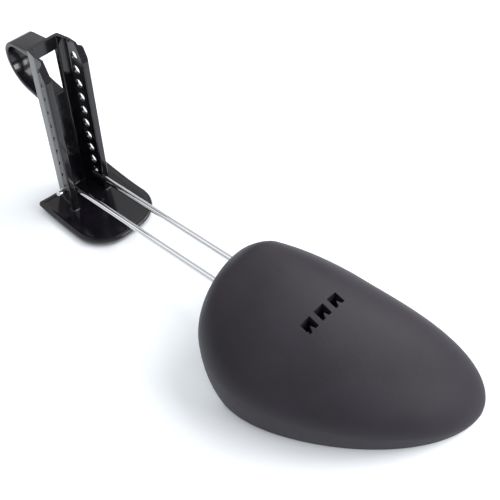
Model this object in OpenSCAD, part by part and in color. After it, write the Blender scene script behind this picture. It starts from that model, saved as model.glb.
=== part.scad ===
// Shoe tree with a hollow toe piece, two spring wire legs and a folding heel lever.
// +X runs from heel to toe, +Y to the big-toe side and +Z up.
// The origin is on the floor, in the middle of the seat under the heel plate.

/* [Heel plate] */
// Width of the heel plate across the shoe
plate_w = 45; // [40:1:54]
// Length of the heel plate along the shoe
plate_l = 49; // [44:1:60]
// Thickness of the heel plate
plate_t = 2.2; // [1.8:0.1:3]
// Radius of the plate's domed underside
plate_dome_r = 170; // [80:5:200]
// Depth by which the dome is cut flat for the seat
seat_depth = 0.4; // [0.2:0.05:0.8]
// Corner radius at the front of the heel plate
plate_front_r = 17.5; // [10:0.5:20]
// Corner radius at the rear of the heel plate
plate_rear_r = 2; // [1:0.5:5]

/* [Lever channel] */
// Height of the channel's top over the floor
channel_top = 93; // [88:1:104]
// Depth of the channel, from the outside of its web to its open front
channel_depth = 16.3; // [14:0.5:20]
// Outer width of the channel at its web
web_w = 17.4; // [16.6:0.2:19]
// Thickness of the web
web_t = 1.8; // [1.4:0.1:2.6]
// Thickness of the side walls at their thinnest
wall_t = 1.3; // [1:0.1:2]
// Depth of the thick lip along the front of each wall
lip_depth = 3.5; // [2:0.5:4]
// Amount by which the lip stands out from the wall
lip_out = 2.4; // [0.4:0.1:3]
// Distance from the heel plate's rear edge to the outside of the web
web_inset = 0.7; // [0:0.1:2]
// Amount by which the walls are cut back at the top of the channel
top_cut_back = 4; // [2:0.5:6]
// Length of the cut back at the top of the channel
top_cut_drop = 9.5; // [6:0.5:14]

/* [Adjustment holes] */
// Number of holes in each wall
hole_count = 10; // [6:1:10]
// Spacing of the holes
hole_pitch = 8; // [7.5:0.1:8.1]
// Diameter of a hole
hole_d = 4.6; // [3.8:0.1:5]
// Height of the lowest hole over the floor
lowest_hole_z = 13.4; // [12:0.2:16]
// Distance from the lip's front face back to the hole row
hole_inset = 6; // [5:0.5:8]

/* [Finger loop] */
// Width of the window in the web, which the loop spans
window_w = 12; // [10:0.5:13]
// Width of the loop's strap
strap_w = 12.6; // [10:0.2:13]
// Thickness of the strap
strap_t = 2.2; // [1.8:0.1:3]
// Distance by which the loop stands out behind the web
loop_reach = 23.5; // [18:0.5:28]
// Radius of the loop's upper bend, on its outside
loop_upper_r = 9.8; // [8:0.2:11]
// Radius of the loop's lower bend, on its outside
loop_lower_r = 15.4; // [13:0.2:17]
// Distance from the channel's top down to the middle of the loop's bends
loop_drop = 15.2; // [14:0.2:18]
// Slope of the upper limb where it leaves the web
upper_limb_slope = 8; // [0:1:12]
// Slope of the lower limb where it leaves the web
lower_limb_slope = 12.4; // [6:0.2:16]

/* [Wire legs] */
// Diameter of the spring wire
wire_d = 3; // [2.5:0.1:3.2]
// Gap between a wire leg and the channel wall beside it
leg_gap = 0.1; // [0.05:0.05:0.2]
// Distance between the centres of the two legs
leg_spacing = 14.3; // [13.6:0.1:15]
// Length of the legs, from the hinge in the lever to the cross bar in the toe piece
leg_length = 134.6; // [120:1:150]
// Angle at which the legs rise towards the toe piece
leg_rise = 5.3; // [3:0.1:7]
// Radius of the two bends beside the cross bar, on the wire's centre line
wire_bend_r = 3.1; // [2.6:0.1:3.2]
// Radius of the two bends beside the hooked ends, on the wire's centre line
hook_bend_r = 2.4; // [2:0.1:2.5]
// Distance from the middle plane to the near end of the wire
near_end_y = 16.5; // [14:0.5:20]
// Distance from the middle plane to the far end of the wire
far_end_y = 12.8; // [12:0.2:20]

/* [Toe piece] */
// Length of the toe piece
toe_length = 118.4; // [110:0.1:130]
// Height of the toe piece at its crown
toe_height = 49.6; // [46:0.1:56]
// Half width of the toe piece on the little-toe side
toe_half_near = 46.8; // [42:0.1:50]
// Half width of the toe piece on the big-toe side
toe_half_far = 33; // [30:0.5:38]
// Wall thickness of the toe piece
toe_wall = 2.2; // [1.6:0.1:3]
// Distance from the rear of the toe piece to its widest place
ball_at = 47; // [40:0.5:56]
// Distance from the rear of the toe piece to its highest place
crown_at = 15; // [13:0.5:22]
// Height of the toe piece at its rear end, before the rim is cut
rear_height = 28; // [24:0.5:34]
// Height of the blunt nose
nose_height = 14; // [8:0.5:18]
// Sideways place of the rear sections
ball_shift = 0.3; // [0:0.1:6]
// Sideways place of the tip, towards the big toe
tip_shift = 28.2; // [20:0.1:34]
// Distance from the rear of the toe piece to where the rim's plane meets the floor
rim_run = 33.5; // [28:0.5:38]
// Angle of the rim's plane with the floor
rim_angle = 47.7; // [42:0.1:60]
// Distance from the rear of the toe piece to the cross bar
bar_inset = 27.6; // [24:0.1:32]

/* [Vents] */
// Number of vents in the top of the toe piece
vent_count = 3; // [1:1:3]
// Spacing of the vents across the toe piece
vent_pitch = 8.3; // [7.6:0.1:9]
// Length of a vent along the shoe
vent_l = 5.2; // [4.6:0.1:7]
// Width of a vent across the shoe
vent_w = 5.7; // [4.6:0.1:6.2]
// Length of the pointed tooth at the toe side of a vent
vent_tooth = 2.2; // [1:0.1:3]
// Distance from the rear of the toe piece to the middle of the vents
vent_at = 52; // [48:0.5:60]

/* [Wire keeper] */
// Width of the keeper, between the legs
keeper_w = 7.8; // [6:0.2:8]
// Thickness of the keeper under the cross bar's centre line
keeper_t = 4.2; // [3.4:0.1:5]
// Height of the saddle over the cross bar's centre line
saddle_t = 5; // [4:0.2:7]
// Distance of each screw from the cross bar
screw_offset = 9; // [7:0.2:11]
// Diameter of a screw's shank
screw_d = 2.8; // [2.2:0.1:3]
// Diameter of a screw's head
screw_head_d = 5.4; // [4.6:0.1:6]
// Height of a screw's head
screw_head_t = 1.9; // [1.4:0.1:2.4]
// Depth to which a screw reaches into its post
screw_reach = 9; // [6:0.5:12]
// Width of the slot across a screw's head
screw_slot = 0.8; // [0.6:0.1:1.2]
// Radial clearance of the cross bar and the screws in their holes
fit_gap = 0.05; // [0.03:0.01:0.1]

/* [Hidden] */
$fn = 64;
eps = 0.01;
past = 5;

// Places along the shoe
web_x = -plate_l / 2 + web_inset;
front_x = web_x + channel_depth;
hinge_x = front_x - hole_inset;
hinge_z = lowest_hole_z;
bar_x = hinge_x + leg_length * cos(leg_rise);
bar_z = hinge_z + leg_length * sin(leg_rise);
toe_rear_x = bar_x - bar_inset;

// Cross-section of the channel, in half widths
leg_y = leg_spacing / 2;
inner_half = leg_y + wire_d / 2 + leg_gap;
outer_half = inner_half + wall_t;
lip_half = outer_half + lip_out;
web_half = web_w / 2;
web_inner_half = web_half - web_t;
web_chamfer = 0.8;
lip_x = front_x - lip_depth;
lip_ramp = 0.6;
straight_x = hinge_x - wire_d;

// The dish of the heel plate
dome_z = plate_dome_r - seat_depth;
foot_z = plate_t + 3;

// The window and the loop share their heights
loop_z = channel_top - loop_drop;
bend_rear_x = web_x - loop_reach;
upper_bend_x = bend_rear_x + loop_upper_r;
lower_bend_x = bend_rear_x + loop_lower_r;
limb_end_angle = 270 - lower_limb_slope;
upper_start_angle = 90 + upper_limb_slope;
upper_limb_z = loop_z + loop_upper_r * sin(upper_start_angle)
    + (web_x - upper_bend_x - loop_upper_r * cos(upper_start_angle)) * tan(upper_limb_slope);
lower_limb_z = loop_z + loop_lower_r * sin(limb_end_angle)
    - (web_x - lower_bend_x - loop_lower_r * cos(limb_end_angle)) * tan(lower_limb_slope);
inner_upper_r = loop_upper_r - strap_t;
inner_lower_r = loop_lower_r - strap_t;
limb_top_z = loop_z + inner_lower_r * sin(limb_end_angle)
    - (web_x - lower_bend_x - inner_lower_r * cos(limb_end_angle)) * tan(lower_limb_slope);
limb_under_z = loop_z + inner_upper_r;
window_bottom = limb_top_z - 0.3;
window_top = limb_under_z + 1.6;

// The form of the toe piece
near_front_power = 2.04;
far_front_power = 2.05;
near_rear_power = 2.21;
far_rear_power = 1.8;
crown_front_power = 1.66;
crown_rear_power = 1.4;
nose_power = 8;
section_power = 2.04;
widest_share = 0.42;
swing_ease = 0.25;
tuck = 0.06;
crown_lean = 0.1;
lean_run = 63.5;
lean_z = 15;
ring_count = 34;
arch_steps = 26;
tuck_steps = 3;
tip_stop = 0.985;
rear_start = 0.04;

// The posts and the saddle in the toe piece
post_r = keeper_w / 2;
saddle_half = screw_offset + post_r;
rib_t = 2.4;

function clamp01(v) = max(0, min(1, v));

// Points of an arc around [cx, cz], from angle a0 to a1
function arc(cx, cz, r, a0, a1, steps = 24) =
    [for (i = [0:steps]) let (a = a0 + (a1 - a0) * i / steps) [cx + r * cos(a), cz + r * sin(a)]];

// Half width of the toe piece at x from its rear, with the wall left off where inset is set
function half_width(x, half, front_power, rear_power, inset) =
    let (f = clamp01((x - ball_at) / (toe_length - inset - ball_at)),
         r = clamp01((ball_at - x) / (ball_at - inset)))
    (half - inset) * (x > ball_at ? pow(1 - pow(f, front_power), 1 / front_power)
                                  : pow(1 - pow(r, rear_power), 1 / rear_power));

// Height of the toe piece's crown at x from its rear
function crown_height(x, inset) =
    let (f = clamp01((x - crown_at) / (toe_length - inset - crown_at)),
         r = clamp01((crown_at - x) / (crown_at - inset)),
         top = toe_height - inset,
         rear = rear_height - inset)
    x > crown_at ? (top - nose_height) * (1 - pow(f, crown_front_power))
                   + nose_height * sqrt(1 - pow(f, nose_power))
                 : rear + (top - rear) * pow(1 - pow(r, crown_rear_power), 1 / crown_rear_power);

// Share of the swing to the big toe: about 0 behind the ball, 1 at the tip, with a soft start between
function swing(u) = (u + sqrt(u * u + swing_ease * swing_ease)) / (1 + sqrt(1 + swing_ease * swing_ease));

// One point of a section, at angle a from the near side (0) over the crown (90) to the far side (180)
function arch_point(a, mid, near, far, low, top) =
    let (c = cos(a), e = 2 / section_power)
    [mid - (c > 0 ? near : far) * sign(c) * pow(abs(c), e), low + (top - low) * pow(abs(sin(a)), e)];

// A point of the tucked foot of a section, at share q of its height
function foot_point(q, mid, half, low, floor_z) =
    [mid + half * (1 - tuck * (1 - q) * (1 - q)), floor_z + (low - floor_z) * q];

// A section of the toe piece as a ring of [y, z] points
function section(x, inset, floor_z) =
    let (near = half_width(x, toe_half_near, near_front_power, near_rear_power, inset),
         far = half_width(x, toe_half_far, far_front_power, far_rear_power, inset),
         top = crown_height(x, inset),
         low = widest_share * top,
         mid = ball_shift + (tip_shift - ball_shift) * swing((x - ball_at) / (toe_length - ball_at)))
    concat([for (i = [0:tuck_steps - 1]) foot_point(i / tuck_steps, mid, -near, low, floor_z)],
           [for (i = [0:arch_steps]) arch_point(180 * i / arch_steps, mid, near, far, low, top)],
           [for (i = [tuck_steps - 1:-1:0]) foot_point(i / tuck_steps, mid, far, low, floor_z)]);

// The crown leans back a little towards the heel
function leant(x, z) = toe_rear_x + x - crown_lean * (z - lean_z) * clamp01((lean_run - x) / lean_run);

// Distance of ring i from the rear of the toe piece, with rings closer together at both ends
function ring_x(i, inset) =
    let (u = rear_start + (tip_stop - rear_start) * i / (ring_count - 1))
    inset + (toe_length - 2 * inset) * (0.5 - 0.5 * cos(180 * u));

// A closed toe form, made of sections
module toe_form(inset, floor_z) {
    rings = [for (i = [0:ring_count - 1])
        let (x = ring_x(i, inset))
        [for (p = section(x, inset, floor_z)) [leant(x, p[1]), p[0], p[1]]]];
    n = len(rings[0]);
    sides = [for (i = [0:ring_count - 2], j = [0:n - 1])
        let (a = i * n + j, b = i * n + (j + 1) % n)
        each [[a, b, b + n], [a, b + n, a + n]]];
    last = (ring_count - 1) * n;
    polyhedron(
        points = [for (ring = rings, p = ring) p],
        faces = concat(sides, [[for (j = [n - 1:-1:0]) j]], [[for (j = [0:n - 1]) last + j]]),
        convexity = 6);
}

// Everything behind the rim's leaning plane
module behind_rim() {
    reach = 200;
    translate([toe_rear_x + rim_run, 0, 0])
        rotate([0, rim_angle - 90, 0])
            translate([-reach, -reach / 2, -reach])
                cube([reach, reach, 2 * reach]);
}

// Outline of a vent, with its tooth pointing to the heel
module vent_outline() {
    half_l = vent_l / 2;
    half_w = vent_w / 2;
    tooth_half = vent_tooth / 2;
    polygon([[-half_l, -half_w], [half_l, -half_w], [half_l, -tooth_half], [half_l - vent_tooth, 0],
             [half_l, tooth_half], [half_l, half_w], [-half_l, half_w]]);
}

module vents() {
    for (i = [0:vent_count - 1])
        translate([toe_rear_x + vent_at, (i - (vent_count - 1) / 2) * vent_pitch, toe_height / 2])
            linear_extrude(toe_height)
                vent_outline();
}

// A round bar along Y through the point [x, z]
module cross_bore(x, z, d, half_length) {
    translate([x, 0, z])
        rotate([90, 0, 0])
            cylinder(d = d, h = 2 * half_length, center = true);
}

// The saddle over the cross bar, with a screw post at each end and a rib between them.
// Posts and rib run up into the roof and end inside its wall.
module saddle() {
    translate([bar_x - saddle_half, -keeper_w / 2, bar_z])
        cube([2 * saddle_half, keeper_w, saddle_t]);
    intersection() {
        union() {
            translate([bar_x - screw_offset, -rib_t / 2, bar_z])
                cube([2 * screw_offset, rib_t, toe_height - bar_z]);
            for (side = [-1, 1])
                translate([bar_x + side * screw_offset, 0, bar_z])
                    cylinder(r = post_r, h = toe_height - bar_z);
        }
        toe_form(toe_wall / 2, 0);
    }
}

// Hollow toe piece, open below and behind, in matt charcoal plastic
module toe_shell() {
    color([0.21, 0.20, 0.22])
    difference() {
        union() {
            difference() {
                toe_form(0, 0);
                toe_form(toe_wall, -past);
                behind_rim();
                vents();
            }
            saddle();
        }
        cross_bore(bar_x, bar_z, wire_d + 2 * fit_gap, keeper_w);
        for (side = [-1, 1])
            translate([bar_x + side * screw_offset, 0, bar_z - past])
                cylinder(d = screw_d + 2 * fit_gap, h = past + screw_reach + fit_gap);
    }
}

// A straight length of wire from a to b in the plane of the legs, with round ends
module wire_run(a, b) {
    length = norm(b - a);
    turn = atan2(b[1] - a[1], b[0] - a[0]);
    translate([a[0], a[1], 0])
        rotate([0, 0, turn])
            rotate([0, 90, 0])
                cylinder(d = wire_d, h = length);
}

// A quarter bend of the wire with radius r around [cx, cy], starting at angle a0
module wire_bend(cx, cy, r, a0) {
    translate([cx, cy, 0])
        rotate([0, 0, a0])
            rotate_extrude(angle = 90)
                translate([r, 0])
                    circle(d = wire_d);
}

// One leg on the side given by its sign, with its hooked end reaching out to end_y
module wire_leg(side, end_y) {
    wire_run([hook_bend_r, side * leg_y], [leg_length - wire_bend_r, side * leg_y]);
    wire_bend(leg_length - wire_bend_r, side * (leg_y - wire_bend_r), wire_bend_r, side > 0 ? 0 : 270);
    wire_bend(hook_bend_r, side * (leg_y + hook_bend_r), hook_bend_r, side > 0 ? 180 : 90);
    wire_run([0, side * (leg_y + hook_bend_r)], [0, side * (end_y - wire_d / 2)]);
    translate([0, side * (end_y - wire_d / 2), 0])
        sphere(d = wire_d);
}

// One hairpin of chromed spring wire: a cross bar, two legs and two hooked ends
module twin_rod() {
    color([0.80, 0.81, 0.83])
    translate([hinge_x, 0, hinge_z])
        rotate([0, -leg_rise, 0]) {
            wire_leg(-1, near_end_y);
            wire_leg(1, far_end_y);
            wire_run([leg_length, wire_bend_r - leg_y], [leg_length, leg_y - wire_bend_r]);
        }
}

// Cap that holds the cross bar in the saddle
module rod_keeper() {
    color([0.16, 0.16, 0.17])
    difference() {
        translate([bar_x - saddle_half, -keeper_w / 2, bar_z - keeper_t])
            cube([2 * saddle_half, keeper_w, keeper_t]);
        cross_bore(bar_x, bar_z, wire_d + 2 * fit_gap, keeper_w);
        for (side = [-1, 1])
            translate([bar_x + side * screw_offset, 0, bar_z - keeper_t - past])
                cylinder(d = screw_d + 2 * fit_gap, h = keeper_t + 2 * past);
    }
}

// Two pan-head screws, driven from below
module keeper_screws() {
    color([0.62, 0.63, 0.65])
    for (side = [-1, 1])
        translate([bar_x + side * screw_offset, 0, bar_z - keeper_t])
            difference() {
                union() {
                    cylinder(d = screw_d, h = keeper_t + screw_reach);
                    translate([0, 0, -screw_head_t])
                        cylinder(d = screw_head_d, h = screw_head_t);
                }
                translate([-screw_head_d, -screw_slot / 2, -screw_head_t - past])
                    cube([2 * screw_head_d, screw_slot, past + screw_head_t / 2]);
            }
}

// One half of the channel's outline, on the side given by its sign
function channel_half(side) =
    [[web_x, side * (web_half - web_chamfer)],
     [web_x + web_chamfer, side * web_half],
     [straight_x, side * outer_half],
     [lip_x, side * outer_half],
     [lip_x + lip_ramp, side * lip_half],
     [front_x, side * lip_half],
     [front_x, side * inner_half],
     [straight_x, side * inner_half],
     [web_x + web_t, side * web_inner_half]];

// Cross-section of the channel, seen from above
module channel_outline() {
    near = channel_half(-1);
    far = channel_half(1);
    polygon(concat(near, [for (i = [len(far) - 1:-1:0]) far[i]]));
}

// The wedge cut off the front of both walls at the top
module top_cut() {
    rotate([90, 0, 0])
        linear_extrude(2 * (lip_half + past), center = true)
            polygon([[front_x - top_cut_back, channel_top + eps], [front_x + past, channel_top + eps],
                     [front_x + past, channel_top - top_cut_drop],
                     [front_x, channel_top - top_cut_drop]]);
}

// Upright channel with two rows of adjustment holes, in gloss black plastic
module lever_channel() {
    color([0.08, 0.08, 0.09])
    difference() {
        translate([0, 0, foot_z])
            linear_extrude(channel_top - foot_z)
                channel_outline();
        top_cut();
        translate([web_x - past, -window_w / 2, window_bottom])
            cube([past + web_t + eps, window_w, window_top - window_bottom]);
        for (i = [0:hole_count - 1])
            cross_bore(hinge_x, hinge_z + i * hole_pitch, hole_d, lip_half + past);
    }
}

// Finger loop behind the window, a strap bent in one round
module finger_loop() {
    outer = concat([[web_x, upper_limb_z]],
                   arc(upper_bend_x, loop_z, loop_upper_r, upper_start_angle, 180),
                   arc(lower_bend_x, loop_z, loop_lower_r, 180, limb_end_angle),
                   [[web_x, lower_limb_z]]);
    inner = concat([[web_x, limb_top_z]],
                   arc(lower_bend_x, loop_z, inner_lower_r, limb_end_angle, 180),
                   arc(upper_bend_x, loop_z, inner_upper_r, 180, 90),
                   [[web_x, limb_under_z]]);
    color([0.10, 0.10, 0.11])
    rotate([90, 0, 0])
        linear_extrude(strap_w, center = true)
            polygon(concat(outer, inner));
}

// Outline of the heel plate, seen from above
module plate_outline() {
    hull() {
        for (side = [-1, 1]) {
            translate([plate_l / 2 - plate_front_r, side * (plate_w / 2 - plate_front_r)])
                circle(r = plate_front_r);
            translate([plate_rear_r - plate_l / 2, side * (plate_w / 2 - plate_rear_r)])
                circle(r = plate_rear_r);
        }
    }
}

// Dished heel plate with a flat seat below and the foot of the channel on top
module heel_plate() {
    color([0.09, 0.09, 0.10])
    intersection() {
        union() {
            difference() {
                linear_extrude(2 * foot_z)
                    plate_outline();
                translate([0, 0, dome_z])
                    sphere(r = plate_dome_r - plate_t, $fn = 96);
            }
            linear_extrude(foot_z)
                channel_outline();
        }
        translate([0, 0, dome_z])
            sphere(r = plate_dome_r, $fn = 96);
        translate([-plate_l, -plate_w, 0])
            cube([2 * plate_l, 2 * plate_w, 2 * foot_z]);
    }
}

toe_shell();
twin_rod();
rod_keeper();
keeper_screws();
lever_channel();
finger_loop();
heel_plate();
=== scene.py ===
# %% [markdown]
# # A shoe tree, dressed
#
# The object is a right shoe's tree. A hollow toe piece in matt charcoal plastic sits on a hairpin of
# chromed spring wire, and the hooked ends of that wire turn in a gloss black lever with a dished heel
# plate at its foot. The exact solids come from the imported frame. The cells below make the skins that
# the eye sees: smooth forms with rounded edges, each worked out from the same sizes as the solids.

# %% Load the frame and the tools
import math

import bmesh
import bpy
import numpy as np
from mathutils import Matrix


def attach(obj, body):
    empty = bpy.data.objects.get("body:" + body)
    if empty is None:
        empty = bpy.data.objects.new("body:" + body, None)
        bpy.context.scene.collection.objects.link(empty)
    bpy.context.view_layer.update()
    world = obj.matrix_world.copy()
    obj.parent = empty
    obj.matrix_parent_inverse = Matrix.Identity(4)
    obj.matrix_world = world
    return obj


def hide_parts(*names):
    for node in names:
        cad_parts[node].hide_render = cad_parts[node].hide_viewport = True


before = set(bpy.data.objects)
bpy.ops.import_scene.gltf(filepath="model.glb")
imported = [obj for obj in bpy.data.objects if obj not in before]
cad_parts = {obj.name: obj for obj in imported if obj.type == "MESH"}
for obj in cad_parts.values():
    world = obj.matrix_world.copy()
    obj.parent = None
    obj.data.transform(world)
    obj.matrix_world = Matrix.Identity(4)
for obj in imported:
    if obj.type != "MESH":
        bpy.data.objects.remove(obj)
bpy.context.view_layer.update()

MM = 0.001
print("nodes:", sorted(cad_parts))

# %% [markdown]
# ## The camera
#
# The photograph looks down on the tree from the toe end, at 49 degrees. The lens and the place were
# fitted to its straight lines and even rows: the holes, the two wire legs and the heel plate. The camera
# comes first, so that every later piece can be judged against the photograph at once.

# %% Camera
frame_pixels, focal_pixels, sensor_mm = 500.0, 842.8, 36.0
camera_place = (262.62, -170.56, 318.74)
looks_down, heading = 49.17, 42.82
camera_data = bpy.data.cameras.new("studio_camera")
camera_data.sensor_width = sensor_mm
camera_data.lens = focal_pixels * sensor_mm / frame_pixels
camera = bpy.data.objects.new("studio_camera", camera_data)
camera.location = [place * MM for place in camera_place]
camera.rotation_euler = (math.radians(90.0 - looks_down), 0.0, math.radians(heading))
bpy.context.scene.collection.objects.link(camera)
bpy.context.scene.camera = camera
print("lens", round(camera_data.lens, 2), "mm on a sensor of", sensor_mm, "mm")

# %% [markdown]
# ## Surfaces from arrays
#
# Every piece here is a surface of two parameters: a grid of points, row by row, in millimetres. Small
# helpers turn a grid into quads and close its ends. One more joins several grids into one closed mesh,
# and the last ones cut shapes out of a mesh, give it its material and its body, and hide the CAD nodes
# that it replaces.


# %% Grids, ends and tubes
def quads(rows, cols, wrap_cols=False):
    """Quads of a grid with the given rows and columns: each cell joins a point to the next one in its
    row and to the same two in the next row. With wrap_cols each row is a closed ring."""
    i = np.arange(rows - 1)[:, None]
    j = np.arange(cols if wrap_cols else cols - 1)[None, :]
    j2 = (j + 1) % cols
    corners = i * cols + j, i * cols + j2, (i + 1) * cols + j2, (i + 1) * cols + j
    return np.stack(np.broadcast_arrays(*corners), -1).reshape(-1, 4)


def surface(points, wrap_cols=False):
    """A part of a mesh: the points of a grid as one list, and its quads."""
    rows, cols = points.shape[:2]
    return points.reshape(-1, 3), quads(rows, cols, wrap_cols)


def disc(points):
    """A part that closes a ring of points with one flat face."""
    return points.reshape(-1, 3), np.arange(len(points))[None, :]


def tube(rings):
    """The parts of a closed body: each ring joined to the next, and one face over each end."""
    return [surface(rings, wrap_cols=True), disc(rings[0]), disc(rings[-1])]


def prism(outline, low, high, axis=2):
    """A closed prism: an outline's ring at two places along an axis. The outline's two columns are the
    other two axes, in their order."""
    return tube(np.stack([np.insert(outline, axis, place, axis=1) for place in (low, high)]))


def make_mesh(name, parts, merge_mm=0.002):
    """One mesh from several parts: lists joined end to end, equal points merged, faces turned outwards."""
    verts, faces, base = [], [], 0
    for points, cells in parts:
        verts.append(points)
        faces.extend((cells + base).tolist())
        base += len(points)
    mesh = bpy.data.meshes.new(name)
    mesh.from_pydata((np.concatenate(verts) * MM).tolist(), [], faces)
    work = bmesh.new()
    work.from_mesh(mesh)
    bmesh.ops.remove_doubles(work, verts=work.verts, dist=merge_mm * MM)
    bmesh.ops.dissolve_degenerate(work, edges=work.edges, dist=merge_mm * MM * 0.5)
    bmesh.ops.recalc_face_normals(work, faces=work.faces)
    work.to_mesh(mesh)
    work.free()
    return mesh


# %% Placing and cutting a piece
def add_piece(name, mesh, material, body, replaces=(), sharp_deg=40.0):
    """Puts a mesh in the scene as a piece: smooth faces, with creases sharper than sharp_deg kept."""
    mesh.shade_smooth()
    mesh.set_sharp_from_angle(angle=math.radians(sharp_deg))
    mesh.materials.clear()
    mesh.materials.append(material)
    piece = bpy.data.objects.new(name, mesh)
    bpy.context.scene.collection.objects.link(piece)
    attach(piece, body)
    for node in replaces:
        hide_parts(node)
    print(f"{name}: {len(mesh.vertices)} points, {len(mesh.polygons)} faces")
    return piece


def carve(mesh, cutter_parts, bevel_mm=0.0, bevel_deg=40.0):
    """Cuts closed cutters out of a mesh, and rounds the edges that the cut leaves."""
    blank = bpy.data.objects.new("blank", mesh)
    bpy.context.scene.collection.objects.link(blank)
    tools = []
    for k, parts in enumerate(cutter_parts):
        tool = bpy.data.objects.new(f"cutter_{k}", make_mesh(f"cutter_{k}", parts))
        bpy.context.scene.collection.objects.link(tool)
        tools.append(tool)
        cut = blank.modifiers.new(f"cut_{k}", "BOOLEAN")
        cut.operation = "DIFFERENCE"
        cut.solver = "EXACT"
        cut.object = tool
    if bevel_mm:
        bevel = blank.modifiers.new("soft_edges", "BEVEL")
        bevel.width = bevel_mm * MM
        bevel.segments = 2
        bevel.limit_method = "ANGLE"
        bevel.angle_limit = math.radians(bevel_deg)
        bevel.miter_outer = "MITER_ARC"
    graph = bpy.context.evaluated_depsgraph_get()
    result = bpy.data.meshes.new_from_object(blank.evaluated_get(graph))
    for obj in [blank] + tools:
        bpy.data.objects.remove(obj)
    return result


# %% [markdown]
# ## Sizes
#
# These are the sizes of the solids, in millimetres, read from the photograph through the fitted camera.
# The pivot of the lever is the lowest pair of holes. The wire runs from there to its cross bar inside the
# toe piece, rising by 5.3 degrees.

# %% Shared sizes
hinge_x, hinge_z = -13.5, 13.4
leg_length, leg_rise = 134.6, math.radians(5.3)
bar_x = hinge_x + leg_length * math.cos(leg_rise)
bar_z = hinge_z + leg_length * math.sin(leg_rise)
bar_inset = 27.6
toe_rear = bar_x - bar_inset
wire_r, leg_y = 1.5, 7.15
print("cross bar at x", round(bar_x, 2), "z", round(bar_z, 2))

# %% [markdown]
# ## A grain that several plastics share
#
# Moulded plastic is never one flat colour. The mould leaves a fine spark-eroded grain, and hands leave
# faint cloudy marks in the gloss. Both are noise on Object coordinates, so they stay on the piece. The
# group gives out a height for the bump, a colour and a roughness, and each plastic sets its own values.


# %% Node group: moulded surface
def set_inputs(node, values):
    """Sets a node's inputs from a dictionary of socket names and values."""
    for name, value in values.items():
        node.inputs[name].default_value = value


def moulded_group(cloud_in_height=0.3):
    """Height is grain + 0.3 cloud, where both are noise. Colour goes from the dark to the light tone as
    the cloud rises, and roughness is base + cloud roughness * cloud."""
    tree = bpy.data.node_groups.new("moulded_surface", "ShaderNodeTree")
    for name, kind, value in [
        ("Grain Scale", "NodeSocketFloat", 3000.0),
        ("Cloud Scale", "NodeSocketFloat", 60.0),
        ("Dark Tone", "NodeSocketColor", (0.01, 0.01, 0.01, 1.0)),
        ("Light Tone", "NodeSocketColor", (0.02, 0.02, 0.02, 1.0)),
        ("Base Roughness", "NodeSocketFloat", 0.4),
        ("Cloud Roughness", "NodeSocketFloat", 0.1),
    ]:
        socket = tree.interface.new_socket(name, in_out="INPUT", socket_type=kind)
        socket.default_value = value
    for name, kind in [
        ("Color", "NodeSocketColor"),
        ("Roughness", "NodeSocketFloat"),
        ("Height", "NodeSocketFloat"),
    ]:
        tree.interface.new_socket(name, in_out="OUTPUT", socket_type=kind)
    nodes, links = tree.nodes, tree.links
    given, out = nodes.new("NodeGroupInput"), nodes.new("NodeGroupOutput")
    coords = nodes.new("ShaderNodeTexCoord")
    grain, cloud = nodes.new("ShaderNodeTexNoise"), nodes.new("ShaderNodeTexNoise")
    grain.inputs["Detail"].default_value = 3.0
    cloud.inputs["Detail"].default_value = 4.0
    links.new(coords.outputs["Object"], grain.inputs["Vector"])
    links.new(coords.outputs["Object"], cloud.inputs["Vector"])
    links.new(given.outputs["Grain Scale"], grain.inputs["Scale"])
    links.new(given.outputs["Cloud Scale"], cloud.inputs["Scale"])
    spread = nodes.new("ShaderNodeMapRange")
    set_inputs(spread, {"From Min": 0.3, "From Max": 0.7})
    links.new(cloud.outputs["Fac"], spread.inputs["Value"])
    tone = nodes.new("ShaderNodeMix")
    tone.data_type = "RGBA"
    links.new(spread.outputs["Result"], tone.inputs["Factor"])
    links.new(given.outputs["Dark Tone"], tone.inputs["A"])
    links.new(given.outputs["Light Tone"], tone.inputs["B"])
    links.new(tone.outputs["Result"], out.inputs["Color"])
    rough = nodes.new("ShaderNodeMath")
    rough.operation = "MULTIPLY_ADD"
    links.new(spread.outputs["Result"], rough.inputs[0])
    links.new(given.outputs["Cloud Roughness"], rough.inputs[1])
    links.new(given.outputs["Base Roughness"], rough.inputs[2])
    links.new(rough.outputs["Value"], out.inputs["Roughness"])
    blend = nodes.new("ShaderNodeMath")
    blend.operation = "MULTIPLY_ADD"
    blend.inputs[1].default_value = cloud_in_height
    links.new(cloud.outputs["Fac"], blend.inputs[0])
    links.new(grain.outputs["Fac"], blend.inputs[2])
    links.new(blend.outputs["Value"], out.inputs["Height"])
    return tree


moulded = moulded_group()
print("group:", moulded.name, "with", len(moulded.nodes), "nodes")


# %% Materials from the group
def plastic(name, dark, light, rough, cloud_rough, grain_scale, cloud_scale, bump_mm, specular=0.5):
    """A moulded plastic: the group's colour and roughness, and its height as a bump of bump_mm."""
    material = bpy.data.materials.new(name)
    material.use_nodes = True
    nodes, links = material.node_tree.nodes, material.node_tree.links
    shader = nodes["Principled BSDF"]
    shader.inputs["Specular IOR Level"].default_value = specular
    group = nodes.new("ShaderNodeGroup")
    group.node_tree = moulded
    set_inputs(group, {"Grain Scale": grain_scale, "Cloud Scale": cloud_scale})
    set_inputs(group, {"Dark Tone": (*dark, 1.0), "Light Tone": (*light, 1.0)})
    set_inputs(group, {"Base Roughness": rough, "Cloud Roughness": cloud_rough})
    bump = nodes.new("ShaderNodeBump")
    bump.inputs["Distance"].default_value = bump_mm * MM
    links.new(group.outputs["Color"], shader.inputs["Base Color"])
    links.new(group.outputs["Roughness"], shader.inputs["Roughness"])
    links.new(group.outputs["Height"], bump.inputs["Height"])
    links.new(bump.outputs["Normal"], shader.inputs["Normal"])
    return material


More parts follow.
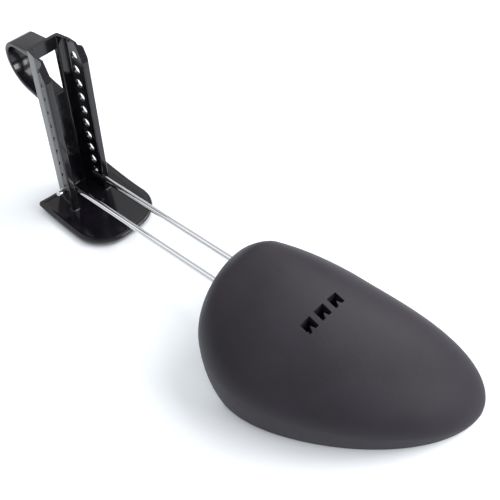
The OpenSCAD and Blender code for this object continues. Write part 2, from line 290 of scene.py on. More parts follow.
toe_plastic = plastic(
    "matt_charcoal_plastic", dark=(0.024, 0.021, 0.028), light=(0.033, 0.029, 0.038), rough=0.44,
    cloud_rough=0.08, grain_scale=2200.0, cloud_scale=45.0, bump_mm=0.06, specular=0.22)
lever_plastic = plastic(
    "gloss_black_plastic", dark=(0.006, 0.005, 0.008), light=(0.009, 0.008, 0.012), rough=0.11,
    cloud_rough=0.05, grain_scale=900.0, cloud_scale=70.0, bump_mm=0.001)
print("plastics:", toe_plastic.name, lever_plastic.name)

# %% [markdown]
# ## Chromed wire and zinc-plated screws
#
# Chrome plate is a mirror with faint drawing lines along the wire, where the die scored it before
# plating. Here the lines are noise stretched along X, which is nearly the direction of the legs. Zinc
# plate is duller, and its noise has no such direction.


# %% Metals
def metal(name, tones, roughs, stretch, bump_mm):
    """A plated metal: noise stretched by the given scale mixes two tones and two roughnesses."""
    material = bpy.data.materials.new(name)
    material.use_nodes = True
    nodes, links = material.node_tree.nodes, material.node_tree.links
    shader = nodes["Principled BSDF"]
    shader.inputs["Metallic"].default_value = 1.0
    coords, mapping = nodes.new("ShaderNodeTexCoord"), nodes.new("ShaderNodeMapping")
    mapping.inputs["Scale"].default_value = stretch
    lines = nodes.new("ShaderNodeTexNoise")
    set_inputs(lines, {"Scale": 1.0, "Detail": 3.0})
    links.new(coords.outputs["Object"], mapping.inputs["Vector"])
    links.new(mapping.outputs["Vector"], lines.inputs["Vector"])
    tone = nodes.new("ShaderNodeMix")
    tone.data_type = "RGBA"
    set_inputs(tone, {"A": (*tones[0], 1.0), "B": (*tones[1], 1.0)})
    links.new(lines.outputs["Fac"], tone.inputs["Factor"])
    links.new(tone.outputs["Result"], shader.inputs["Base Color"])
    rough = nodes.new("ShaderNodeMapRange")
    set_inputs(rough, {"To Min": roughs[0], "To Max": roughs[1]})
    links.new(lines.outputs["Fac"], rough.inputs["Value"])
    links.new(rough.outputs["Result"], shader.inputs["Roughness"])
    bump = nodes.new("ShaderNodeBump")
    bump.inputs["Distance"].default_value = bump_mm * MM
    links.new(lines.outputs["Fac"], bump.inputs["Height"])
    links.new(bump.outputs["Normal"], shader.inputs["Normal"])
    return material


chrome = metal(
    "chromed_wire", tones=((0.60, 0.61, 0.63), (0.70, 0.71, 0.73)), roughs=(0.05, 0.10),
    stretch=(40.0, 900.0, 900.0), bump_mm=0.0005)
zinc = metal(
    "zinc_plated_screw", tones=((0.46, 0.47, 0.49), (0.62, 0.63, 0.64)), roughs=(0.22, 0.38),
    stretch=(1500.0, 1500.0, 400.0), bump_mm=0.006)
print("metals:", chrome.name, zinc.name)

# %% [markdown]
# ## The toe piece
#
# The toe piece is half a last: a hollow form like the front of a foot, open below and cut off behind by a
# leaning plane. Its section at each distance from the rear is an arch, wider on the little-toe side, and
# the arch shrinks to a blunt nose at the tip. The same formula with a smaller size gives the inside of
# the wall, so one function makes both skins.

# %% The form of the toe piece
TOE = dict(length=118.4, height=49.6, near=46.8, far=33.0, wall=2.2, ball=47.0, crown=15.0,
           rear_height=28.0, nose=14.0, rear_y=0.3, tip_y=28.2, rim_run=33.5, rim_angle=47.7,
           rim_round=0.9, foot=0.12, widest=0.42, tuck=0.06, lean=0.1, lean_from=15.0, lean_run=63.5)
POWER = dict(near_front=2.04, far_front=2.05, near_rear=2.21, far_rear=1.8, section=2.04,
             crown_front=1.66, crown_rear=1.4, nose=8)


def swing(u):
    """Share of the swing to the big toe: (u + sqrt(u^2 + e^2)) / (1 + sqrt(1 + e^2)), about 0 behind the
    ball of the foot and 1 at the tip, with a soft start between."""
    ease = 0.25
    return (u + np.sqrt(u * u + ease * ease)) / (1 + math.sqrt(1 + ease * ease))


def crown(x, inset):
    """Height of the crown at x: (top - nose)(1 - f^1.66) + nose sqrt(1 - f^8) ahead of its highest place,
    where f is the share of the way to the tip, and rear + (top - rear)(1 - r^1.4)^(1 / 1.4) behind it."""
    front = np.clip((x - TOE["crown"]) / (TOE["length"] - inset - TOE["crown"]), 0, 1)
    back = np.clip((TOE["crown"] - x) / (TOE["crown"] - inset), 0, 1)
    top, rear, nose = TOE["height"] - inset, TOE["rear_height"] - inset, TOE["nose"]
    to_tip = (top - nose) * (1 - front ** POWER["crown_front"]) + nose * np.sqrt(1 - front ** POWER["nose"])
    to_rear = rear + (top - rear) * (1 - back ** POWER["crown_rear"]) ** (1 / POWER["crown_rear"])
    return np.where(x > TOE["crown"], to_tip, to_rear)


def lean(x, z):
    """How far a point leans back: 0.1 (z - 15) at the rear, fading to nothing 63.5 mm ahead of it."""
    return TOE["lean"] * (z - TOE["lean_from"]) * np.clip((TOE["lean_run"] - x) / TOE["lean_run"], 0, 1)


def toe_point(x, turn, inset):
    """Point of the toe form at distance x from its rear and turn from 0 (near base) to 1 (far base).
    Half width: W (1 - f^p)^(1/p) ahead of the ball and W (1 - r^q)^(1/q) behind it. Above the widest
    height, with n the section's power, y = mid -/+ w |cos a|^(2/n) and z = low + (top - low)|sin a|^(2/n).
    Below it the wall goes straight down and tucks in by 6 per cent towards its base."""
    ball, foot = TOE["ball"], TOE["foot"]
    ahead = np.clip((x - ball) / (TOE["length"] - inset - ball), 0, 1)
    behind = np.clip((ball - x) / (ball - inset), 0, 1)

    def half_width(side):
        front, rear = POWER[side + "_front"], POWER[side + "_rear"]
        ahead_share, behind_share = (1 - ahead**front) ** (1 / front), (1 - behind**rear) ** (1 / rear)
        return (TOE[side] - inset) * np.where(x > ball, ahead_share, behind_share)

    height = crown(x, inset)
    low = TOE["widest"] * height
    mid = TOE["rear_y"] + (TOE["tip_y"] - TOE["rear_y"]) * swing((x - ball) / (TOE["length"] - ball))
    angle = np.clip((turn - foot) / (1 - 2 * foot), 0, 1) * np.pi
    cosine, sine = np.abs(np.cos(angle)), np.abs(np.sin(angle))
    up = np.clip(np.minimum(turn, 1 - turn) / foot, 0, 1)
    tuck = 1 - TOE["tuck"] * (1 - up) ** 2
    side = np.where(turn < 0.5, -half_width("near"), half_width("far"))
    y = mid + side * cosine ** (2 / POWER["section"]) * tuck
    z = low * up + (height - low) * sine ** (2 / POWER["section"])
    return np.stack(np.broadcast_arrays(toe_rear + x - lean(x, z), y, z), -1)


def rim_start(turn, inset, room):
    """Distance x at which the form meets the rim's plane, moved ahead by room, found by halving."""
    slope = 1 / math.tan(math.radians(TOE["rim_angle"]))
    low = np.full_like(turn, inset + 0.01)
    high = np.full_like(turn, 80.0)
    for _ in range(40):
        x = (low + high) / 2
        p = toe_point(x, turn, inset)
        outside = p[..., 0] + p[..., 2] * slope < toe_rear + TOE["rim_run"] + room
        low, high = np.where(outside, x, low), np.where(outside, high, x)
    return high


print("toe form:", TOE["length"], "mm long,", round(TOE["near"] + TOE["far"], 1), "mm wide at the ball")

# %% Skins of the toe piece
toe_rows, toe_columns, foot_rows, rim_rows, tip_gap, crowding = 120, 150, 6, 5, 0.07, 1.8


def toe_skin(inset):
    """Grid from the rim to the tip. At each turn x = start + (tip - start)(1 - (1 - s)^1.8), which
    crowds the rows near the tip, and they stop just short of it."""
    foot = np.linspace(0, TOE["foot"], foot_rows, endpoint=False)
    arch = TOE["foot"] + (1 - 2 * TOE["foot"]) * np.linspace(0, 1, toe_columns)
    turn = np.concatenate([foot, arch, 1 - foot[::-1]])[None, :]
    start = rim_start(turn, inset, TOE["rim_round"])
    s = np.linspace(0, 1, toe_rows)[:, None]
    tip = TOE["length"] - inset - tip_gap
    return toe_point(start + (tip - start) * (1 - (1 - s) ** crowding), turn, inset)


outer, inner = toe_skin(0.0), toe_skin(TOE["wall"])
rim_turns = np.linspace(0, np.pi, rim_rows + 2)[1:-1][:, None, None]
rim_mid, rim_half = (outer[0] + inner[0]) / 2, (outer[0] - inner[0]) / 2
plane = math.radians(TOE["rim_angle"])
rim_out = np.array([-math.sin(plane), 0.0, -math.cos(plane)])
rim = rim_mid + rim_half * np.cos(rim_turns) + rim_out * np.sin(rim_turns) * TOE["rim_round"]
rim[..., 2] = np.maximum(rim[..., 2], 0.0)
shell_rows = np.concatenate([outer[::-1], rim, inner])
print("toe grid:", shell_rows.shape[0], "x", shell_rows.shape[1])

# %% [markdown]
# The grid is open along the base. The near edge and the far edge of the grid are closed by a narrow sole
# that joins each outer point to its inner point, and two small faces close the tip. Then the three vents
# are cut through the roof: each is a slot with a pointed tooth that reaches in from the toe side.


# %% Close and cut the toe piece
def edge_strip(column):
    """The sole under one side: the outer half of the grid's edge joined to the inner half."""
    return surface(np.stack([outer[:, column], inner[:, column]], 1))


def rim_end(column):
    """The face that closes one end of the rim's rounding, where it meets the sole."""
    return disc(np.concatenate([outer[:1, column], rim[:, column], inner[:1, column]]))


vent_l, vent_w, tooth, vent_pitch, under_sleeves, over_roof = 5.2, 5.7, 2.2, 8.3, 20.0, 60.0
vent_x = toe_rear + 52.0
vent_outline = np.array([[-vent_l / 2, -vent_w / 2], [vent_l / 2, -vent_w / 2], [vent_l / 2, -tooth / 2],
                         [vent_l / 2 - tooth, 0], [vent_l / 2, tooth / 2], [vent_l / 2, vent_w / 2],
                         [-vent_l / 2, vent_w / 2]])


def vent_cutter(k, scale=1.0):
    """A prism through the roof, k places from the middle vent. It goes on down past a sleeve's end."""
    return prism(vent_outline * scale + [vent_x, k * vent_pitch], under_sleeves, over_roof)


shell_parts = [surface(shell_rows), edge_strip(0), edge_strip(-1)]
shell_parts += [disc(outer[-1]), disc(inner[-1]), rim_end(0), rim_end(-1)]
toe_mesh = carve(make_mesh("toe_skin", shell_parts), [vent_cutter(k) for k in (-1, 0, 1)])
add_piece("toe_skin", toe_mesh, toe_plastic, "toe", ["toe_shell"], 32.0)

# %% [markdown]
# Seen from above, the vents are dark, and one side wall of each reaches far down. So each vent has a
# sleeve that hangs under the roof. Its top follows the middle of the roof's wall, and its bore is a hair
# wider than the vent, so that no two faces share a plane.


# %% Sleeves under the vents
def roof_height(x, y, inset):
    """Height of the form over the points [x, y]: the turn whose y fits is found by halving, and the lean
    is undone step by step."""
    along = x - toe_rear
    for _ in range(8):
        low, high = np.full_like(x, TOE["foot"]), np.full_like(x, 1 - TOE["foot"])
        for _ in range(30):
            turn = (low + high) / 2
            p = toe_point(along, turn, inset)
            low, high = np.where(p[:, 1] < y, turn, low), np.where(p[:, 1] < y, high, turn)
        along = along + x - p[:, 0]
    return p[:, 2]


def divided(corners, count):
    """Points along the straight sides of a closed outline, count to a side, from each corner on."""
    corners = np.asarray(corners, float)
    share = np.linspace(0, 1, count, endpoint=False)[None, :, None]
    step = np.roll(corners, -1, 0) - corners
    return (corners[:, None] + step[:, None] * share).reshape(-1, 2)


def vent_sleeve(k, wall=1.0, depth=10.0, clear=0.03):
    """A square sleeve round the vent that is k places from the middle one, open above and below."""
    x, y = vent_l / 2 + wall, vent_w / 2 + wall
    outline = divided([[-x, -y], [x, -y], [x, y], [-x, y]], 8) + [vent_x, k * vent_pitch]
    roof = roof_height(outline[:, 0], outline[:, 1], TOE["wall"] / 2)
    rings = np.stack([np.column_stack([outline, roof - depth]), np.column_stack([outline, roof])])
    middle = np.broadcast_to(rings.mean(1, keepdims=True), rings.shape)
    ends = [surface(np.stack([rings[q], middle[q]]), wrap_cols=True) for q in (0, 1)]
    block = make_mesh("vent_sleeve", [surface(rings, wrap_cols=True)] + ends)
    return carve(block, [vent_cutter(k, 1 + clear / (vent_l / 2))])


for name, k in (("near_vent_sleeve", -1), ("middle_vent_sleeve", 0), ("far_vent_sleeve", 1)):
    add_piece(name, vent_sleeve(k), toe_plastic, "toe", (), 32.0)

# %% [markdown]
# ## The saddle inside the toe piece
#
# The photograph doesn't show how the wire is held. A simple way is a moulded saddle on two posts under
# the roof, with a cap that two screws pull up against the cross bar. The saddle, the cap and the posts
# are rounded outlines carried upwards here, and the bar's place is cut out of the first two.


# %% Rounded outlines
def fillet(corners, radius, steps=6):
    """Rounds each corner of a closed outline. With unit vectors a and b to the neighbours and half angle h,
    the arc's middle is corner + (a + b) / |a + b| * radius / sin h, and its points turn from one tangent
    point to the other."""
    corners = np.asarray(corners, float)
    radius = np.broadcast_to(np.asarray(radius, float), len(corners))[:, None]
    a, b = np.roll(corners, 1, 0) - corners, np.roll(corners, -1, 0) - corners
    a /= np.linalg.norm(a, axis=1, keepdims=True)
    b /= np.linalg.norm(b, axis=1, keepdims=True)
    half = np.arccos(np.clip((a * b).sum(1, keepdims=True), -1, 1)) / 2
    middle = (a + b) / np.linalg.norm(a + b, axis=1, keepdims=True)
    centre = corners + middle * radius / np.sin(half)
    start = corners + a * radius / np.tan(half) - centre
    end = corners + b * radius / np.tan(half) - centre
    turn = (np.pi - 2 * half)[:, None]
    s = np.linspace(0, 1, steps)[None, :, None]
    points = (np.sin((1 - s) * turn) * start[:, None] + np.sin(s * turn) * end[:, None]) / np.sin(turn)
    return (centre[:, None] + points).reshape(-1, 2)


def pillow(outline, low, high, edge, steps=5):
    """An outline carried from low to high, whose ends draw in by edge on a quarter circle."""
    a = np.linspace(0, np.pi / 2, steps)
    inset = np.concatenate([edge * (1 - np.sin(a)), edge * (1 - np.cos(a))])
    z = np.concatenate([low + edge * (1 - np.cos(a)), high - edge * (1 - np.sin(a))])
    middle = outline.mean(0)
    reach = np.linalg.norm(outline - middle, axis=1)[None, :, None]
    ring = middle + (outline - middle)[None] * (1 - inset[:, None, None] / reach)
    rings = np.concatenate([ring, np.broadcast_to(z[:, None, None], ring.shape[:2] + (1,))], -1)
    return tube(rings)


def circle(x, y, radius, count=40):
    """Points of a circle around [x, y]."""
    a = np.linspace(0, 2 * np.pi, count, endpoint=False)
    return np.column_stack([x + radius * np.cos(a), y + radius * np.sin(a)])


def box_outline(x0, x1, y0, y1, radius):
    """A rectangle with rounded corners."""
    return fillet([[x0, y0], [x1, y0], [x1, y1], [x0, y1]], radius)


# %% Saddle, posts and cap
keeper_half, screw_offset, saddle_t, cap_t, bar_play = 3.9, 9.0, 5.0, 4.2, 0.05
rib_half, post_sunk, post_reach = 1.2, 0.5, 15.0
saddle_half = keeper_half + screw_offset
block = box_outline(bar_x - saddle_half, bar_x + saddle_half, -keeper_half, keeper_half, 0.8)
bar_cut = prism(circle(bar_x, bar_z, wire_r + bar_play, 48), -6.0, 6.0, axis=1)
saddle_mesh = carve(make_mesh("saddle_block", pillow(block, bar_z, bar_z + saddle_t, 0.3)), [bar_cut])
add_piece("saddle_block", saddle_mesh, toe_plastic, "toe")


def under_roof(outline):
    """An outline carried up from the saddle until it ends in the middle of the roof's wall. The form's
    lean is undone step by step."""
    foot, head = bar_z + saddle_t - post_sunk, bar_z + post_reach
    parts = []
    for points, faces in pillow(outline, foot, head, 0.05):
        points = points.copy()
        top = points[:, 2] > (foot + head) / 2
        x = points[top, 0] - toe_rear
        for _ in range(8):
            z = crown(x, TOE["wall"] / 2)
            x = points[top, 0] - toe_rear + lean(x, z)
        points[top, 2] += z - head
        parts.append((points, faces))
    return parts


rib = box_outline(bar_x - screw_offset, bar_x + screw_offset, -rib_half, rib_half, 0.3)
post_parts = under_roof(rib)
for side in (-1, 1):
    post_parts += under_roof(circle(bar_x + side * screw_offset, 0.0, keeper_half))
add_piece("saddle_posts", make_mesh("saddle_posts", post_parts), toe_plastic, "toe")
cap_mesh = carve(make_mesh("wire_cap", pillow(block, bar_z - cap_t, bar_z, 0.5)), [bar_cut])
add_piece("wire_cap", cap_mesh, toe_plastic, "toe", ["rod_keeper"])


# %% Screws
def screw(x):
    """A pan-head screw under the cap: a profile of radius against height turned about the vertical, with
    a cross cut into its head."""
    head_r, head_t, rounding, shank_r, shank, point_r, point = 2.7, 1.9, 0.9, 1.4, 12.6, 0.4, 13.2
    arm, arm_half, recess, below_head = 1.7, 0.35, 1.0, 1.1
    seat_z = bar_z - cap_t
    a = np.linspace(0, np.pi / 2, 8)
    head = np.column_stack([head_r - rounding * (1 - np.cos(a)), rounding * (1 - np.sin(a)) - head_t])[::-1]
    profile = np.concatenate([head, [[head_r, 0.0], [shank_r, 0.0], [shank_r, shank], [point_r, point]]])
    turn = np.linspace(0, 2 * np.pi, 48, endpoint=False)
    rings = np.stack(np.broadcast_arrays(x + profile[:, :1] * np.cos(turn), profile[:, :1] * np.sin(turn),
                                         seat_z + profile[:, 1:]), -1)
    cross = []
    for u, v in ((arm, arm_half), (arm_half, arm)):
        bar = np.array([[x - u, -v], [x + u, -v], [x + u, v], [x - u, v]])
        cross.append(prism(bar, seat_z - head_t - below_head, seat_z - head_t + recess))
    return carve(make_mesh("screw", tube(rings)), cross)


for name, side in (("rear_screw", -1), ("front_screw", 1)):
    add_piece(name, screw(bar_x + side * screw_offset), zinc, "toe", ["keeper_screws"], 30.0)

# %% [markdown]
# ## The wire hairpin
#
# One length of spring wire makes the cross bar, both legs and both hooked ends. It is a circle carried
# along a flat path of straight lines and quarter bends, then tipped up by its rise about the pivot. Its
# ends close in half balls, like the rounded ends of tumbled wire.


# %% Path of the wire
def arc_path(cx, cy, radius, start_deg, end_deg, steps=14):
    """Points on a circle around [cx, cy] from one angle to another."""
    a = np.radians(np.linspace(start_deg, end_deg, steps))
    return np.column_stack([cx + radius * np.cos(a), cy + radius * np.sin(a)])


def line_path(a, b, step=2.5):
    """Points from a to b, without the two ends, so that arcs can supply them."""
    a, b = np.array(a, float), np.array(b, float)
    count = max(2, int(np.linalg.norm(b - a) / step))
    return a + (b - a) * (np.arange(1, count) / count)[:, None]


hook_r, bend_r, near_end, far_end = 2.4, 3.1, 16.5, 12.8
hook_y = leg_y + hook_r
near_tip, far_tip = -(near_end - wire_r), far_end - wire_r
bend_x, bend_y = leg_length - bend_r, leg_y - bend_r
wire_path = np.concatenate([
    [[0.0, near_tip]],
    line_path([0, near_tip], [0, -hook_y], 1.0),
    arc_path(hook_r, -hook_y, hook_r, 180, 90),
    line_path([hook_r, -leg_y], [bend_x, -leg_y]),
    arc_path(bend_x, -bend_y, bend_r, -90, 0),
    line_path([leg_length, -bend_y], [leg_length, bend_y]),
    arc_path(bend_x, bend_y, bend_r, 0, 90),
    line_path([bend_x, leg_y], [hook_r, leg_y]),
    arc_path(hook_r, hook_y, hook_r, 270, 180),
    line_path([0, hook_y], [0, far_tip], 1.0),
    [[0.0, far_tip]],
])


def wire_rings(path, radius, count=28, end_rings=7):
    """Rings around the path: centre + radius (normal cos t + up sin t). Half-ball ends are more rings,
    whose radius is radius cos e and whose centre moves out by radius sin e."""
    along = np.gradient(path, axis=0)
    along /= np.linalg.norm(along, axis=1, keepdims=True)
    e = np.linspace(0, np.pi / 2, end_rings + 1)[1:]
    head = path[0] - along[0] * (radius * np.sin(e))[::-1, None]
    tail = path[-1] + along[-1] * (radius * np.sin(e))[:, None]
    centre = np.concatenate([head, path, tail])
    size = np.concatenate([np.cos(e)[::-1], np.ones(len(path)), np.cos(e)]) * radius
    along = np.concatenate([np.repeat(along[:1], end_rings, 0), along, np.repeat(along[-1:], end_rings, 0)])
    normal = np.column_stack([-along[:, 1], along[:, 0]])
    t = np.linspace(0, 2 * np.pi, count, endpoint=False)
    flat = centre[:, None] + normal[:, None] * (size[:, None] * np.cos(t))[..., None]
    x, y, z = flat[..., 0], flat[..., 1], size[:, None] * np.sin(t)
    return np.stack([hinge_x + x * math.cos(leg_rise) - z * math.sin(leg_rise), y,
                     hinge_z + x * math.sin(leg_rise) + z * math.cos(leg_rise)], -1)


wire_mesh = make_mesh("wire_hairpin", [surface(wire_rings(wire_path, wire_r), wrap_cols=True)])
add_piece("wire_hairpin", wire_mesh, chrome, "rods", ["twin_rod"], 60.0)

# %% [markdown]
# ## The heel plate
#
# The plate is a shallow dish with a square rear, round front corners and a fine raised line inside its
# edge. Its height over the floor is that of a sphere, cut flat where it stands. Rings of the outline,
# each a little further in, carry the height across the underside, round the edge and across the top.

# %% Sizes and outline of the plate
plate_w, plate_l, plate_t, dome_r, seat = 45.0, 49.0, 2.2, 170.0, 0.4
rear_r, front_r, least_r = 2.0, 17.5, 0.4


def plate_ring(inset, corner_points=18, side_points=16):
    """The plate's outline drawn in by inset: a rectangle whose corner radii shrink by the same amount.
    Each straight side has points of its own, so that the dish bends along it too."""
    x, y = plate_l / 2 - inset, plate_w / 2 - inset
    rear, front = max(rear_r - inset, least_r), max(front_r - inset, least_r)
    rounded = fillet([[-x, -y], [x, -y], [x, y], [-x, y]], [rear, front, front, rear], corner_points)
    corners = rounded.reshape(4, corner_points, 2)
    share = np.linspace(0, 1, side_points + 2)[1:-1, None]
    parts = []
    for k in range(4):
        start, end = corners[k, -1], corners[(k + 1) % 4, 0]
        parts += [corners[k], start + (end - start) * share]
    return np.concatenate(parts)


def dish(x, y, radius):
    """Height over the point x, y of a sphere whose middle is the dome's: dome_r - seat above the floor."""
    return dome_r - seat - np.sqrt(radius**2 - x**2 - y**2)


def plate_level(ring, q, lift=0.0):
    """Height at share q of the plate's thickness, raised by lift: 0 is the underside, cut flat at the
    floor, and 1 the top."""
    under = np.maximum(dish(ring[:, 0], ring[:, 1], dome_r), 0.0)
    over = dish(ring[:, 0], ring[:, 1], dome_r - plate_t)
    return np.column_stack([ring, under + (over - under) * q + lift])


print("outline of the plate:", len(plate_ring(0.0)), "points")

# %% Rings of the plate
innermost, edge_r = 20.0, 1.0
raised_line = ((1.3, 0.0), (1.55, 0.06), (1.75, 0.16), (2.0, 0.18), (2.25, 0.16), (2.45, 0.06), (2.7, 0.0))
plate_rings = []
for inset in np.concatenate([np.linspace(innermost, 3.0, 10), [2.2, 1.5]]):
    plate_rings.append(plate_level(plate_ring(inset), 0.0))
for a in np.linspace(-np.pi / 2, np.pi / 2, 13):
    plate_rings.append(plate_level(plate_ring(edge_r - edge_r * math.cos(a)), 0.5 + 0.5 * math.sin(a)))
for inset, lift in raised_line:
    plate_rings.append(plate_level(plate_ring(inset), 1.0, lift))
for inset in np.linspace(3.2, innermost, 12):
    plate_rings.append(plate_level(plate_ring(inset), 1.0))
plate_mesh = make_mesh("dished_plate", tube(np.stack(plate_rings)))
add_piece("dished_plate", plate_mesh, lever_plastic, "lever", ["heel_plate"], 50.0)

# %% [markdown]
# ## The lever channel
#
# The lever is an upright channel: a web at the heel side, and two walls with ten holes each and a wide
# lip along the front. Its outline with rounded corners is carried up from the dish, with a small fillet
# at the foot. The window for the finger loop and the sloping tops of the walls are cut first, and a fine
# bevel rounds what those cuts leave. The holes come last and stay crisp, as moulded holes do.

# %% Outline of the channel
web_x, web_t, front_x, top_z = -23.8, 1.8, -7.5, 93.0
web_half, web_inner_half, bend_place = 8.7, 6.9, -16.5
wall_outer, wall_inner, lip_outer, lip_start, lip_ramp = 10.05, 8.75, 12.45, -11.0, 0.6
half_outline = np.array([
    [web_x, web_half], [bend_place, wall_outer], [lip_start, wall_outer], [lip_start + lip_ramp, lip_outer],
    [front_x, lip_outer], [front_x, wall_inner], [bend_place, wall_inner], [web_x + web_t, web_inner_half]])
half_radii = np.array([1.4, 6.0, 0.5, 0.7, 0.75, 0.75, 3.0, 0.8])
channel_outline = fillet(np.concatenate([half_outline * [1, -1], half_outline[::-1]]),
                         np.concatenate([half_radii, half_radii[::-1]]), 7)


def outward(outline):
    """Unit normals of a closed outline that runs anticlockwise: the tangent turned by a quarter."""
    tangent = np.roll(outline, -1, 0) - np.roll(outline, 1, 0)
    tangent /= np.linalg.norm(tangent, axis=1, keepdims=True)
    return np.column_stack([tangent[:, 1], -tangent[:, 0]])


channel_normal = outward(channel_outline)
print("outline of the channel:", len(channel_outline), "points")

# %% Carry it up
fillet_r, sunk, root = 0.7, 0.05, 0.6
levels = []
for a in np.linspace(0, np.pi / 2, 6):
    ring = channel_outline + channel_normal * fillet_r * (1 - math.sin(a))
    lift = dish(ring[:, 0], ring[:, 1], dome_r - plate_t) - sunk + fillet_r * (1 - math.cos(a))
    levels.append(np.column_stack([ring, lift]))
levels.insert(0, levels[0] - [0, 0, root])
for z in (20.0, 40.0, 60.0, 80.0, top_z):
    levels.append(np.column_stack([channel_outline, np.full(len(channel_outline), z)]))
channel_blank = make_mesh("channel", tube(np.stack(levels)))
print("channel:", len(levels), "levels")

# %% Cut the window, the sloping tops and the holes
hole_r, hole_pitch, hole_count, past_walls = 2.3, 8.0, 10, 14.0
window_half, window_low, window_high, window_r, behind_web, inside_web = 6.0, 62.2, 87.0, 0.8, -28.0, -20.0
slope_run, slope_drop, past_top = 4.0, 9.5, 6.0
window_ring = box_outline(-window_half, window_half, window_low, window_high, window_r)
window = prism(window_ring, behind_web, inside_web, axis=0)
slope = prism(np.array([[front_x - slope_run, top_z + 0.01], [front_x - slope_run + 0.5, top_z + past_top],
                        [front_x + past_top, top_z + past_top], [front_x + past_top, top_z - slope_drop],
                        [front_x, top_z - slope_drop]]), -past_walls, past_walls, axis=1)
holes = [prism(circle(hinge_x, hinge_z + hole_pitch * k, hole_r), -past_walls, past_walls, axis=1)
         for k in range(hole_count)]
channel_mesh = carve(carve(channel_blank, [slope, window], 0.25), holes)
channel = add_piece("channel", channel_mesh, lever_plastic, "lever", ["lever_channel"])
flat_faces = channel.modifiers.new("flat_faces", "WEIGHTED_NORMAL")
flat_faces.keep_sharp = True

# %% [markdown]
# ## The finger loop
#
# The loop is a flat strap, bent round behind the window. Its outside and its inside are two paths of the
# same number of points, and at each step a rounded rectangle spans them.

# %% Sizes of the loop
strap_w, strap_t, upper_r, lower_r = 12.6, 2.2, 9.8, 15.4
loop_z, loop_rear, root_x = 77.8, web_x - 23.5, web_x + 0.6
upper_x, lower_x = loop_rear + upper_r, loop_rear + lower_r
rise_deg, fall_deg = 8.0, 12.4


def on_circle(x, radius, deg):
    """The point at an angle on a circle whose middle is at x, at the loop's height."""
    turn = math.radians(deg)
    return np.array([x + radius * math.cos(turn), loop_z + radius * math.sin(turn)])


def root_height(point, deg):
    """Height at which a straight line from the point reaches the web, rising at the given angle."""
    return point[1] + (root_x - point[0]) * math.tan(math.radians(deg))


print("loop reaches", round(web_x - loop_rear, 1), "mm behind the web")

# %% Paths and skin of the loop
def loop_path(inset, start_deg, root_top):
    """The strap's path from the web over the upper bend and the lower bend back to the web. Both straight
    ends have eight points, and the lower one leaves its bend at a tangent."""
    top = arc_path(upper_x, loop_z, upper_r - inset, start_deg, 180, 26)
    low = arc_path(lower_x, loop_z, lower_r - inset, 180, 270.0 - fall_deg, 30)[1:]
    root_a, root_b = np.array([[root_x, root_top]]), np.array([[root_x, root_height(low[-1], -fall_deg)]])
    lead = root_a + (top[0] - root_a) * np.linspace(0, 1, 8)[:-1, None]
    tail = low[-1] + (root_b - low[-1]) * np.linspace(0, 1, 8)[1:, None]
    return np.concatenate([lead, top, low, tail])


outer_start = 90.0 + rise_deg
outer_path = loop_path(0.0, outer_start, root_height(on_circle(upper_x, upper_r, outer_start), rise_deg))
inner_path = loop_path(strap_t, 90.0, loop_z + upper_r - strap_t)
strap = box_outline(-strap_w / 2, strap_w / 2, 0.0, strap_t, 0.55)
share = strap[None, :, 1:] / strap_t
strap_xz = outer_path[:, None] * (1 - share) + inner_path[:, None] * share
strap_y = np.broadcast_to(strap[:, 0], strap_xz.shape[:2])
loop_mesh = make_mesh("strap_loop", tube(np.stack([strap_xz[..., 0], strap_y, strap_xz[..., 1]], -1)))
add_piece("strap_loop", loop_mesh, lever_plastic, "lever", ["finger_loop"], 50.0)

# %% [markdown]
# ## Floor and light
#
# The object stands on a plain white sheet under soft light. The floor is a pale matt surface that also
# glows a little, for the camera and in mirrors alone, so that open floor reads white and only the shadows
# near the object show. Two ambient occlusion nodes dim that glow, which paints shade on the floor: one
# reaches 40 mm for a painted shadow at the contact, and one reaches 200 mm, so that covered floor stays
# dark as painted shade.

# %% Floor
floor_half = 6.0
floor_mesh = bpy.data.meshes.new("floor")
floor_corners = [(-floor_half, -floor_half, 0), (floor_half, -floor_half, 0), (floor_half, floor_half, 0),
                 (-floor_half, floor_half, 0)]
floor_mesh.from_pydata(floor_corners, [], [(0, 1, 2, 3)])
floor = bpy.data.objects.new("floor", floor_mesh)
floor.location.z = -0.0002
bpy.context.scene.collection.objects.link(floor)
paper = bpy.data.materials.new("white_sheet")
paper.use_nodes = True
nodes, links = paper.node_tree.nodes, paper.node_tree.links
sheet = nodes["Principled BSDF"]
set_inputs(sheet, {"Base Color": (0.82, 0.83, 0.85, 1.0), "Roughness": 0.9, "Specular IOR Level": 0.0})
set_inputs(sheet, {"Emission Color": (0.86, 0.93, 1.0, 1.0)})
floor_mesh.materials.append(paper)
print("floor:", 2 * floor_half, "m wide")


# %% The floor's glow and its painted shade
def multiplied(a, b, add=None):
    """A node that multiplies two sockets, or a socket by a number, and may add a third socket."""
    node = nodes.new("ShaderNodeMath")
    node.operation = "MULTIPLY" if add is None else "MULTIPLY_ADD"
    links.new(a, node.inputs[0])
    if isinstance(b, float):
        node.inputs[1].default_value = b
    else:
        links.new(b, node.inputs[1])
    if add is not None:
        links.new(add, node.inputs[2])
    return node.outputs["Value"]


mirror_glow, camera_glow = 0.45, 0.45
path = nodes.new("ShaderNodeLightPath")
in_mirrors = multiplied(path.outputs["Is Glossy Ray"], mirror_glow)
glow = multiplied(path.outputs["Is Camera Ray"], camera_glow, in_mirrors)
# Ambient occlusion dims the glow: a painted shadow at the contact, and painted shade on covered floor such
# as under the toe piece.
near_sky, far_sky = nodes.new("ShaderNodeAmbientOcclusion"), nodes.new("ShaderNodeAmbientOcclusion")
set_inputs(near_sky, {"Distance": 0.04})
set_inputs(far_sky, {"Distance": 0.2})
covered = nodes.new("ShaderNodeMapRange")
set_inputs(covered, {"From Min": 0.2, "From Max": 0.5})
links.new(far_sky.outputs["AO"], covered.inputs["Value"])
painted_shade_factor = multiplied(near_sky.outputs["AO"], covered.outputs["Result"])
links.new(multiplied(painted_shade_factor, glow), sheet.inputs["Emission Strength"])
print("floor glow:", camera_glow, "for the camera,", mirror_glow, "in mirrors")

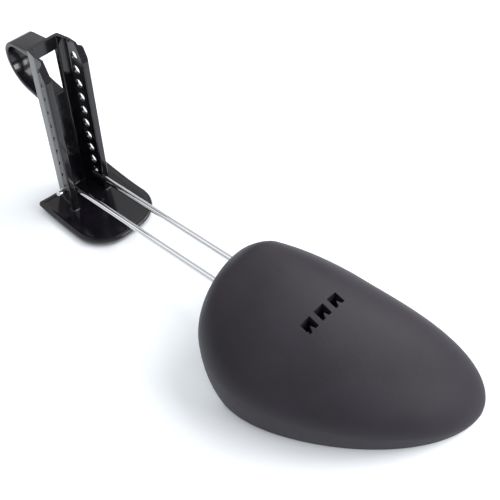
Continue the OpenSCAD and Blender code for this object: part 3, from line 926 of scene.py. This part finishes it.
# %% [markdown]
# The sky is even, at a level that leaves colours as they are written. Rays that mirrors send out see a
# ramp instead, darker near the horizon, which draws soft edges on gloss and chrome. Three lamps shape the
# object: one high at the far side, one low ahead of the tip and one weak at the heel side.

# %% Sky
world = bpy.data.worlds.new("white_room")
bpy.context.scene.world = world
world.use_nodes = True
nodes, links = world.node_tree.nodes, world.node_tree.links
sky = nodes["Background"]
path = nodes.new("ShaderNodeLightPath")
coords, axes = nodes.new("ShaderNodeTexCoord"), nodes.new("ShaderNodeSeparateXYZ")
links.new(coords.outputs["Generated"], axes.inputs["Vector"])


def ramp(value, low, high, to_low, to_high):
    """A smooth step of a value from [low, high] to [to_low, to_high]."""
    node = nodes.new("ShaderNodeMapRange")
    node.interpolation_type = "SMOOTHSTEP"
    set_inputs(node, {"From Min": low, "From Max": high, "To Min": to_low, "To Max": to_high})
    links.new(value, node.inputs["Value"])
    return node.outputs["Result"]


mirrored = ramp(axes.outputs["Z"], 0.02, 0.3, 0.35, 0.8)
plain = ramp(path.outputs["Is Camera Ray"], 0.0, 1.0, 0.47, 1.0)
sky_level = nodes.new("ShaderNodeMix")
links.new(path.outputs["Is Glossy Ray"], sky_level.inputs["Factor"])
links.new(plain, sky_level.inputs["A"])
links.new(mirrored, sky_level.inputs["B"])
links.new(sky_level.outputs["Result"], sky.inputs["Strength"])
sky.inputs["Color"].default_value = (1.0, 1.0, 1.0, 1.0)
print("sky:", len(nodes), "nodes")


# %% Lamps
def lamp(name, place, size, watts, aim=(0.09, 0.0, 0.03)):
    """A square area lamp at a place in metres, turned to face the middle of the object."""
    data = bpy.data.lights.new(name, "AREA")
    data.size = size
    data.energy = watts
    obj = bpy.data.objects.new(name, data)
    obj.location = place
    x, y, z = np.array(aim) - np.array(place)
    tilt = math.acos(-z / math.sqrt(x * x + y * y + z * z))
    obj.rotation_euler = (tilt, 0.0, math.atan2(y, x) - math.pi / 2)
    bpy.context.scene.collection.objects.link(obj)
    print(name, "with", watts, "W")


lamp("key_lamp", (0.40, 0.80, 0.95), 0.9, 12.0)
lamp("toe_lamp", (1.12, 0.40, 0.52), 0.4, 4.2)
lamp("fill_lamp", (-0.8, -0.3, 0.9), 0.9, 1.5)

# %% [markdown]
# ## Finish
#
# The view is the Standard one, so colours render as written.

# %% Finish
bpy.context.scene.view_settings.view_transform = "Standard"
